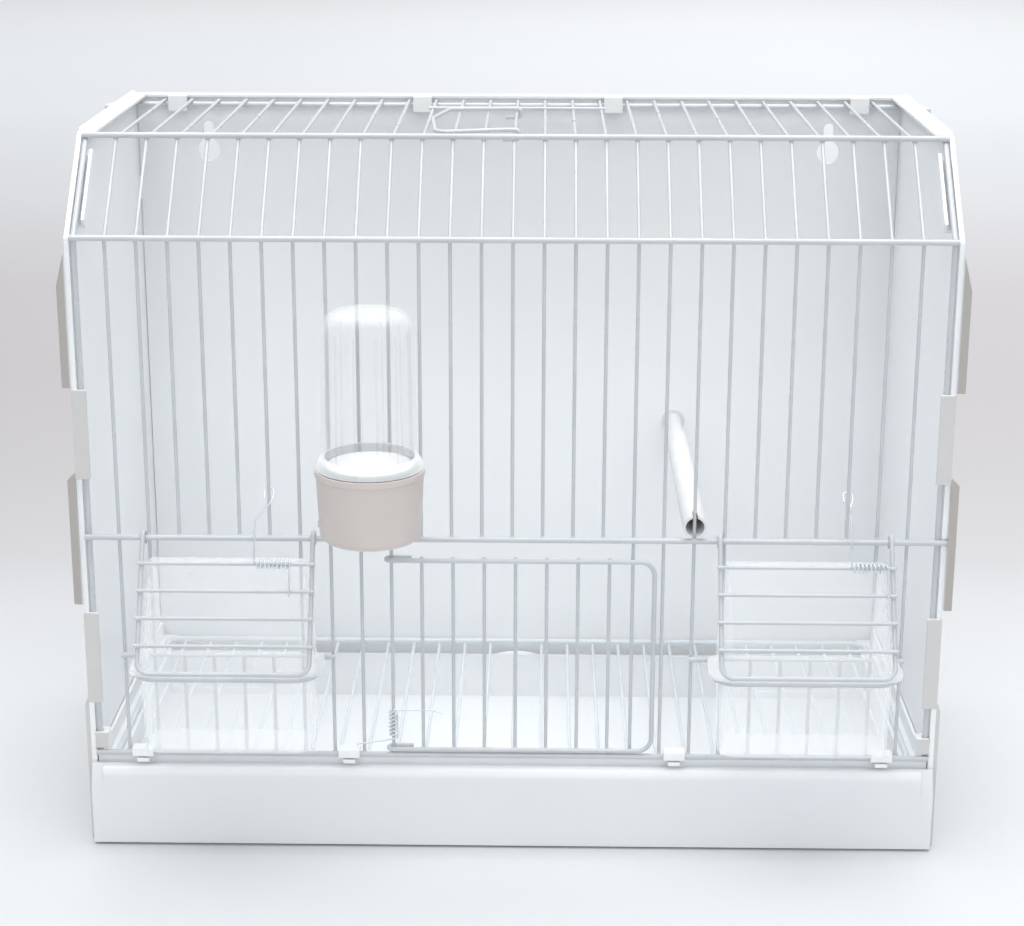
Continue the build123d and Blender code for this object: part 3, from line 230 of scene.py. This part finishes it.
uneven, uneven_in, uneven_end = effect(
    "uneven_surface",
    [
        ("Place", "Vector", (0, 0, 0)),
        ("Tone", "Color", (1, 1, 1, 1)),
        ("Shade", "Color", (1, 1, 1, 1)),
        ("Cloud", "Float", 20.0),
        ("Peel", "Float", 900.0),
        ("Dull", "Float", 0.3),
        ("Spread", "Float", 0.1),
    ],
    [("Color", "Color"), ("Roughness", "Float"), ("Height", "Float")],
)
cloud_start = 0.35
cloud_end = 0.65
cloud = step(
    uneven, "TexNoise", {"Vector": uneven_in["Place"], "Scale": uneven_in["Cloud"], "Detail": 4.0}
)
cloud_mask = ramp(uneven, cloud.outputs["Fac"], cloud_start, cloud_end)
dull_shift = reckon(uneven, "MULTIPLY", cloud_mask, uneven_in["Spread"])
peel = step(uneven, "TexNoise", {"Vector": uneven_in["Place"], "Scale": uneven_in["Peel"], "Detail": 2.0})
feed(
    uneven, uneven_end,
    {
        "Color": blend(uneven, cloud_mask, uneven_in["Tone"], uneven_in["Shade"]),
        "Roughness": reckon(uneven, "ADD", dull_shift, uneven_in["Dull"]),
        "Height": peel.outputs["Fac"],
    },
)

scuffs, scuffs_in, scuffs_end = effect(
    "fine_scuffs",
    [
        ("Place", "Vector", (0, 0, 0)),
        ("Stretch", "Vector", (1, 1, 1)),
        ("Fineness", "Float", 60.0),
        ("Amount", "Float", 0.2),
    ],
    [("Mask", "Float")],
)
scuff_start = 0.6
scuff_end = 0.72
scuff_slant = (0.3, 0.5, 0.7)
scuff_place = step(
    scuffs, "Mapping",
    {"Vector": scuffs_in["Place"], "Rotation": scuff_slant, "Scale": scuffs_in["Stretch"]},
)
scuff_noise = step(
    scuffs, "TexNoise", {"Vector": scuff_place.outputs[0], "Scale": scuffs_in["Fineness"], "Detail": 5.0}
)
scuff_cut = ramp(scuffs, scuff_noise.outputs["Fac"], scuff_start, scuff_end)
feed(scuffs, scuffs_end, {"Mask": reckon(scuffs, "MULTIPLY", scuff_cut, scuffs_in["Amount"])})


def uneven_skin(tree, place, tone, shade, cloud_size, peel_size, dull, spread):
    """The uneven surface effect, placed in a material's tree with the material's own values."""
    values = {"Tone": tone, "Shade": shade, "Cloud": cloud_size, "Peel": peel_size, "Dull": dull}
    return step(tree, "Group", {"Place": place, "Spread": spread, **values}, node_tree=uneven).outputs


def reach(tree, place, way):
    """How far a point lies from the middle to either side, from the middle to the front, or up."""
    axes = step(tree, "SeparateXYZ", {"Vector": place}).outputs
    if way == "sides":
        return reckon(tree, "ABSOLUTE", axes["X"])
    if way == "front":
        return reckon(tree, "MULTIPLY", axes["Y"], -1.0)
    return axes["Z"]


scuff_stretch = (1.0, 0.12, 1.0)
scuff_fineness = 90.0
coat_roughness = 0.12


def white_finish(name, bump, coat_weight, scuffing, painted_shades=(), **skin_values):
    """An opaque white: uneven tone and gloss, a skin of fine waves, and light scuffs that dull it.
    Each painted shade is a way, the two distances between which a darker tint of painted shade comes in,
    and the tint."""
    material, tree, shader, place = new_finish(name)
    skin = uneven_skin(tree, place, **skin_values)
    marks = step(
        tree, "Group",
        {"Place": place, "Stretch": scuff_stretch, "Fineness": scuff_fineness, "Amount": scuffing},
        node_tree=scuffs,
    )
    wave = step(tree, "Bump", {"Height": skin["Height"], "Distance": bump, "Strength": 0.5})
    color = skin["Color"]
    # Painted shade: each tint darkens the colour past a distance, where the face lies in shade.
    for way, start, end, tint in painted_shades:
        share = ramp(tree, reach(tree, place, way), start, end)
        color = blend(tree, share, color, tint, "MULTIPLY")
    feed(
        tree, shader,
        {
            "Base Color": color,
            "Roughness": reckon(tree, "ADD", skin["Roughness"], marks.outputs["Mask"]),
            "Normal": wave.outputs["Normal"],
            "Coat Weight": coat_weight,
            "Coat Roughness": coat_roughness,
        },
    )
    return material


doubles_gap = 0.000002
flat_turn = radians(0.5)
corner_turn = radians(35)


def softened(name, edge, finish, body):
    """A copy of a CAD node with its doubles merged and its sharp corners rounded, in its place."""
    form = bmesh.new()
    form.from_mesh(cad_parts[name].data)
    bmesh.ops.remove_doubles(form, verts=form.verts, dist=doubles_gap)
    bmesh.ops.dissolve_limit(form, angle_limit=flat_turn, verts=form.verts, edges=form.edges)
    corners = [e for e in form.edges if len(e.link_faces) == 2 and e.calc_face_angle() > corner_turn]
    bmesh.ops.bevel(
        form, geom=corners, offset=edge, segments=2, profile=0.5, affect="EDGES", clamp_overlap=False,
        material=-1,
    )
    bmesh.ops.triangulate(form, faces=form.faces)
    piece = put(name + "_shape", form, finish)
    even = piece.modifiers.new("even_shading", "WEIGHTED_NORMAL")
    even.keep_sharp = True
    even.weight = 100
    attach(piece, body)
    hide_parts(name)


shell_edge = 0.00025
tray_edge = 0.0003
# Painted shade on the back panel's upper part, which lies in shade under the roof.
painted_upper_shade = ("up", 0.15, 0.25, (0.87, 0.87, 0.86, 1))
# Painted shade, warm grey, on the side panels' lugs and outer edges, where they lie in shade.
painted_lug_side_shade = ("sides", 0.1786, 0.1788, (0.69, 0.66, 0.635, 1))
painted_lug_front_shade = ("front", 0.0599, 0.0603, (0.7, 0.675, 0.655, 1))
# Painted shade on the tray's front face, which faces away from the overhead light.
painted_fascia_shade = ("front", 0.055, 0.059, (0.88, 0.885, 0.89, 1))
moulding = {
    "tone": (0.955, 0.965, 0.975, 1), "shade": (0.935, 0.95, 0.96, 1), "cloud_size": 9.0,
    "peel_size": 420.0, "dull": 0.3, "spread": 0.08, "bump": 0.00008, "coat_weight": 0.15,
    "scuffing": 0.12,
}
panel_finish = white_finish("white_back_panel", painted_shades=[painted_upper_shade], **moulding)
side_finish = white_finish("white_side_panels", painted_shades=[painted_lug_side_shade, painted_lug_front_shade], **moulding)
base_finish = white_finish("white_base", **moulding)
tray_finish = white_finish("white_tray", painted_shades=[painted_fascia_shade], **moulding)
softened("back_panel", shell_edge, panel_finish, "cage")
softened("left_side_panel", shell_edge, side_finish, "cage")
softened("right_side_panel", shell_edge, side_finish, "cage")
softened("base_frame", shell_edge, base_finish, "cage")
softened("tray", tray_edge, tray_finish, "tray")


# White wires
# Steel wire, bent to the slant and the roof, spot welded to its cross rails and dipped in a glossy
# white coat. The coat is a little uneven along the wire, and gathers in a drop round each weld.
def wear(names, material):
    """Gives CAD nodes their finish."""
    for name in names:
        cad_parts[name].data.materials.clear()
        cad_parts[name].data.materials.append(material)


coating = {"cloud_size": 45.0, "peel_size": 700.0, "spread": 0.12, "bump": 0.00012, "scuffing": 0.15}
coat = white_finish(
    "white_wire_coat", tone=(0.6, 0.62, 0.64, 1), shade=(0.56, 0.58, 0.605, 1), dull=0.26,
    coat_weight=0.5, **coating,
)
wear(
    [
        "cross_rails", "upper_front_bars", "slant_bars", "roof_bars", "lower_bars_left",
        "lower_bars_mid_left", "lower_bars_mid_right", "lower_bars_right", "left_short_bars",
        "right_short_bars", "feeder_sill_rails", "roof_rod", "left_basket", "right_basket", "door_frame",
        "door_bars", "left_flap_frame", "left_flap_bars", "right_flap_frame", "right_flap_bars",
        "roof_handle",
    ],
    coat,
)


def gathers(name, body, places, half_size, finish=coat):
    """Small drops of coat round the welds at the places, on one body."""
    form = bmesh.new()
    for place in places:
        drop_place = Matrix.Translation(place) @ Matrix.Diagonal((*half_size, 1))
        bmesh.ops.create_uvsphere(form, u_segments=8, v_segments=6, radius=1, matrix=drop_place)
    piece = put(name, form, finish)
    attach(piece, body)


wire_pitch = 0.0125
wire_count = 27
middle_wire = 14
front_y = -0.05775
thin_r = 0.00075
rail_r = 0.0012
low_rail_z = 0.0408
middle_rail_z = 0.1372
sill_z = 0.085
weld_y = front_y - thin_r + 0.0001
bend_turn = pi / 8
rail_reach = 0.0007
slant_weld = Vector((0, front_y, 0.2616)) + rail_reach * Vector((0, -cos(bend_turn), sin(bend_turn)))
roof_weld = Vector((0, -0.02285, 0.2965)) + rail_reach * Vector((0, -sin(bend_turn), cos(bend_turn)))
above_door = range(11, 18)


def wire_x(number):
    """Where a front wire stands, counted from the left."""
    return (number - middle_wire) * wire_pitch


front_welds = []
for number in range(1, wire_count + 1):
    x = wire_x(number)
    if number not in above_door:
        front_welds.append(Vector((x, weld_y, low_rail_z)))
    front_welds.append(Vector((x, weld_y, middle_rail_z)))
    front_welds.append(slant_weld + Vector((x, 0, 0)))
    front_welds.append(roof_weld + Vector((x, 0, 0)))
gathers("front_welds", "cage", front_welds, half_size=(0.00125, 0.00075, 0.00165))

sill_wires = [*range(2, 8), *range(21, 27)]
sill_welds = [Vector((wire_x(number), weld_y, sill_z)) for number in sill_wires]
gathers("sill_welds", "cage", sill_welds, half_size=(0.0011, 0.0006, 0.0012))

rod_low, rod_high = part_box("roof_rod")
rod_y = (rod_low.y + rod_high.y) / 2
rod_weld_z = 0.2972
rod_welds = [Vector((wire_x(number), rod_y, rod_weld_z)) for number in above_door]
gathers("rod_welds", "cage", rod_welds, half_size=(0.0011, 0.0011, 0.0006))

# Floor grille
# Cross wires welded under a loop of thicker wire, and dipped in a white coat. The grille's copy of the
# coat is less glossy than the front's, and its lighter tone is painted light, standing in for the light
# from above that falls on the flat grille. The grille lies on the base's ledges, above the tray.
painted_lit_grille_coat = white_finish(
    "painted_lit_grille_coat", tone=(0.74, 0.79, 0.82, 1), shade=(0.7, 0.75, 0.785, 1), dull=0.3,
    coat_weight=0.3, **coating,
)
wear(["floor_grille_rails", "floor_grille_wires"], painted_lit_grille_coat)
grille_weld_z = 0.0325
grille_low, grille_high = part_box("floor_grille_rails")
grille_welds = [
    Vector((wire_x(number), y, grille_weld_z))
    for number in range(1, wire_count + 1)
    for y in (grille_low.y + rail_r, grille_high.y - rail_r)
]
gathers("grille_welds", "cage", grille_welds, half_size=(0.0012, 0.0015, 0.0006), finish=painted_lit_grille_coat)

# Door
# Seven upright wires welded behind a round cornered wire frame, whose ends are hooked round one front
# wire and turn on it. Each wire is cropped square just past its welds.
door_bar_count = 7
door_low, door_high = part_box("door_bars")
door_bar_pitch = (door_high.x - door_low.x - 2 * thin_r) / (door_bar_count - 1)
door_bar_y = (door_low.y + door_high.y) / 2
door_weld_out = 0.0006
door_weld_in = 0.0008
door_welds = []
door_bar_ends = []
for number in range(door_bar_count):
    x = door_low.x + thin_r + door_bar_pitch * number
    for end_z, inward in ((door_low.z, 1), (door_high.z, -1)):
        door_bar_ends.append(Vector((x, door_bar_y, end_z)))
        door_welds.append(Vector((x, door_bar_y - door_weld_out, end_z + inward * door_weld_in)))
gathers("door_welds", "door", door_welds, half_size=(0.00115, 0.0007, 0.0014))
gathers("door_bar_ends", "door", door_bar_ends, half_size=(0.00074, 0.00074, 0.0004))

# Feeder flaps
# Two flaps over the feeder openings, each four cross wires welded on a bent wire frame that hooks over
# the middle rail and leans out. The flaps are sprung shut over the cups.
flap_lean = radians(29)
flap_hinge_gap = 0.0018
flap_bar_count = 4
first_bar_down = 0.0115
bar_gap_down = 0.01135
bar_out = 0.0041
bar_weld_out = 0.0036
bar_weld_in = 0.0011


def flap_place(x, down, out):
    """A point of a flap by its distance down the flap and out from it."""
    y = front_y - flap_hinge_gap - sin(flap_lean) * down - cos(flap_lean) * out
    z = middle_rail_z - cos(flap_lean) * down + sin(flap_lean) * out
    return Vector((x, y, z))


for side in ("left", "right"):
    bars_low, bars_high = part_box(side + "_flap_bars")
    welds = []
    ends = []
    for number in range(flap_bar_count):
        down = first_bar_down + bar_gap_down * number
        for end_x, inward in ((bars_low.x, 1), (bars_high.x, -1)):
            ends.append(flap_place(end_x, down, bar_out))
            welds.append(flap_place(end_x + inward * bar_weld_in, down, bar_weld_out))
    gathers(side + "_flap_welds", side + "_flap", welds, half_size=(0.0013, 0.0008, 0.0011))
    gathers(side + "_flap_bar_ends", side + "_flap", ends, half_size=(0.0004, 0.00074, 0.00074))

# Springs
# Thin steel wire, wound on a mandrel with straight legs: one spring on the door's hinge wire and one on
# the top wire of each flap. The zinc plating is bright, slightly cloudy and faintly drawn.
zinc, zinc_tree, zinc_shader, zinc_place = new_finish("zinc_wire")
zinc_skin = uneven_skin(
    zinc_tree, zinc_place, tone=(0.83, 0.86, 0.9, 1), shade=(0.68, 0.71, 0.76, 1), cloud_size=260.0,
    peel_size=2500.0, dull=0.34, spread=0.14,
)
zinc_wave = step(zinc_tree, "Bump", {"Height": zinc_skin["Height"], "Distance": 0.00003, "Strength": 0.4})
feed(
    zinc_tree, zinc_shader,
    {
        "Base Color": zinc_skin["Color"],
        "Roughness": zinc_skin["Roughness"],
        "Normal": zinc_wave.outputs["Normal"],
        "Metallic": 0.85,
    },
)
wear(
    [
        "door_spring", "door_spring_arm", "left_flap_spring", "right_flap_spring", "left_flap_hook",
        "right_flap_hook",
    ],
    zinc,
)

# Perch
# A satin white tube, extruded in plastic, that is pushed over a moulded peg on the back panel and
# slotted over a front wire. It has light scuffs.
perch_finish = white_finish(
    "perch_satin", tone=(0.8, 0.8, 0.8, 1), shade=(0.76, 0.765, 0.77, 1), cloud_size=60.0,
    peel_size=1400.0, dull=0.42, spread=0.12, bump=0.0001, coat_weight=0.0, scuffing=0.2,
)
wear(["perch", "perch_peg"], perch_finish)


# Feeder cups
# Hooded cups moulded in clear plastic, nearly invisible on the flat and milky where a wall is seen edge
# on, with a faint painted glow. Each stands in its basket, and has a band of fine upright ribs on its
# front, under the flange.
def clear_finish(name, flat_body, edge_body, painted_glow):
    """Clear plastic by how much of it shows on the flat and edge on, and how strongly it shows a painted
    glow that lightens it, though it is no lamp.
    """
    material, tree, shader, place = new_finish(name)
    skin = uneven_skin(
        tree, place, tone=(0.98, 0.99, 1.0, 1), shade=(0.96, 0.98, 0.99, 1), cloud_size=55.0,
        peel_size=160.0, dull=0.06, spread=0.08,
    )
    wave = step(tree, "Bump", {"Height": skin["Height"], "Distance": 0.00015, "Strength": 0.4})
    rim = step(tree, "LayerWeight", {"Blend": 0.3})
    feed(
        tree, shader,
        {
            "Base Color": skin["Color"],
            "Roughness": skin["Roughness"],
            "Normal": wave.outputs["Normal"],
            "Alpha": ramp(tree, rim.outputs["Facing"], 0.0, 1.0, flat_body, edge_body),
            "IOR": 1.5,
            # Painted glow: a pale emission that lightens the plastic.
            "Emission Color": (0.95, 0.98, 1.0, 1),
            "Emission Strength": painted_glow,
        },
    )
    return material


# The cups carry a faint painted glow.
cup_clear = clear_finish("clear_cup", flat_body=0.14, edge_body=0.52, painted_glow=0.14)
wear(["left_cup", "right_cup"], cup_clear)
rib_count = 49
rib_pitch = 0.0011
rib_size = Vector((0.0005, 0.0008, 0.005))
rib_y = front_y - 0.0264
rib_z = 0.0837
for side in ("left", "right"):
    cup_low, cup_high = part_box(side + "_cup")
    first_rib_x = (cup_low.x + cup_high.x - (rib_count - 1) * rib_pitch) / 2
    form = bmesh.new()
    for number in range(rib_count):
        rib_place = Matrix.Translation((first_rib_x + number * rib_pitch, rib_y, rib_z))
        bmesh.ops.create_cube(form, size=1, matrix=rib_place @ Matrix.Diagonal((*rib_size, 1)))
    ribs = put(side + "_cup_ribs", form, cup_clear)
    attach(ribs, "cage")

# Drinker base
# A round cup moulded in warm white plastic with a thin lip, a covered spout and a bracket that pushes
# in between two front wires. A white dish shows inside it, through the foot of the tube.
ivory = white_finish(
    "ivory_base", tone=(0.68, 0.61, 0.575, 1), shade=(0.65, 0.585, 0.55, 1), cloud_size=30.0,
    peel_size=500.0, dull=0.32, spread=0.1, bump=0.0001, coat_weight=0.2, scuffing=0.1,
)
base_edge = 0.0002
softened("drinker_base", base_edge, ivory, "drinker")
rim_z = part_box("drinker_base")[1].z
tube_low, tube_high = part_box("drinker_tube")
rim_middle = Vector(((tube_low.x + tube_high.x) / 2, (tube_low.y + tube_high.y) / 2, rim_z))


def turned(name, line, wall_step, finish):
    """A thin wall turned round the drinker's axis. The line is its outer face, as radii and heights
    over the rim, and the inner face is the line moved by the wall step."""
    other_line = [(r + wall_step[0], z + wall_step[1]) for r, z in reversed(line)]
    form = bmesh.new()
    points = [form.verts.new(rim_middle + Vector((r, 0, z))) for r, z in line + other_line]
    starts_on_axis = line[0][0] == 0
    next_points = points[1:] if starts_on_axis else points[1:] + points[:1]
    for point, next_point in zip(points, next_points):
        form.edges.new((point, next_point))
    bmesh.ops.spin(
        form, geom=form.verts[:] + form.edges[:], cent=rim_middle, axis=(0, 0, 1), angle=2 * pi,
        steps=64, use_merge=True,
    )
    bmesh.ops.remove_doubles(form, verts=form.verts, dist=0.000001)
    bmesh.ops.dissolve_degenerate(form, edges=form.edges, dist=0.0000005)
    bmesh.ops.recalc_face_normals(form, faces=form.faces)
    return put(name, form, finish)


dish_finish = white_finish(
    "white_dish", tone=(0.95, 0.96, 0.97, 1), shade=(0.93, 0.945, 0.955, 1), cloud_size=40.0,
    peel_size=300.0, dull=0.16, spread=0.06, bump=0.00006, coat_weight=0.4, scuffing=0.05,
)
dish_wall = 0.0007
dish_line = [(0.0, -0.0012), (0.008, -0.0016), (0.0135, -0.0026), (0.0158, -0.0014), (0.0173, 0.0014)]
dish = turned("water_dish", dish_line, (0, -dish_wall), dish_finish)
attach(dish, "drinker")

# Drinker tube
# A bottle moulded in clear plastic that stands upside down in the base, with a round top, fine flutes
# down its wall and a short skirt round its foot, over the base's lip.
tube_clear = clear_finish("clear_tube", flat_body=0.02, edge_body=0.42, painted_glow=0.0)
wear(["drinker_tube"], tube_clear)
flute_count = 12
flute_r = 0.0004
flute_foot_r = 0.0173
flute_head_r = 0.0164
flute_foot_rise = -0.0081
flute_head_rise = 0.0559
form = bmesh.new()
for number in range(flute_count):
    turn = 2 * pi * (number + 0.5) / flute_count
    outward = Vector((cos(turn), sin(turn), 0))
    foot = rim_middle + flute_foot_r * outward + Vector((0, 0, flute_foot_rise))
    head = rim_middle + flute_head_r * outward + Vector((0, 0, flute_head_rise))
    flute_turn = (head - foot).to_track_quat("Z", "Y").to_matrix().to_4x4()
    bmesh.ops.create_cone(
        form, cap_ends=True, segments=8, radius1=flute_r, radius2=flute_r, depth=(head - foot).length,
        matrix=Matrix.Translation((foot + head) / 2) @ flute_turn,
    )
flutes = put("tube_flutes", form, tube_clear)
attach(flutes, "drinker_tube")

# The skirt carries a faint painted glow.
skirt_clear = clear_finish("clear_skirt", flat_body=0.3, edge_body=0.68, painted_glow=0.15)
skirt_wall = 0.0006
skirt_line = [(0.0186, 0.005), (0.0199, 0.0042), (0.021, 0.0026), (0.0215, 0.0004)]
skirt = turned("tube_skirt", skirt_line, (-skirt_wall, 0), skirt_clear)
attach(skirt, "drinker_tube")
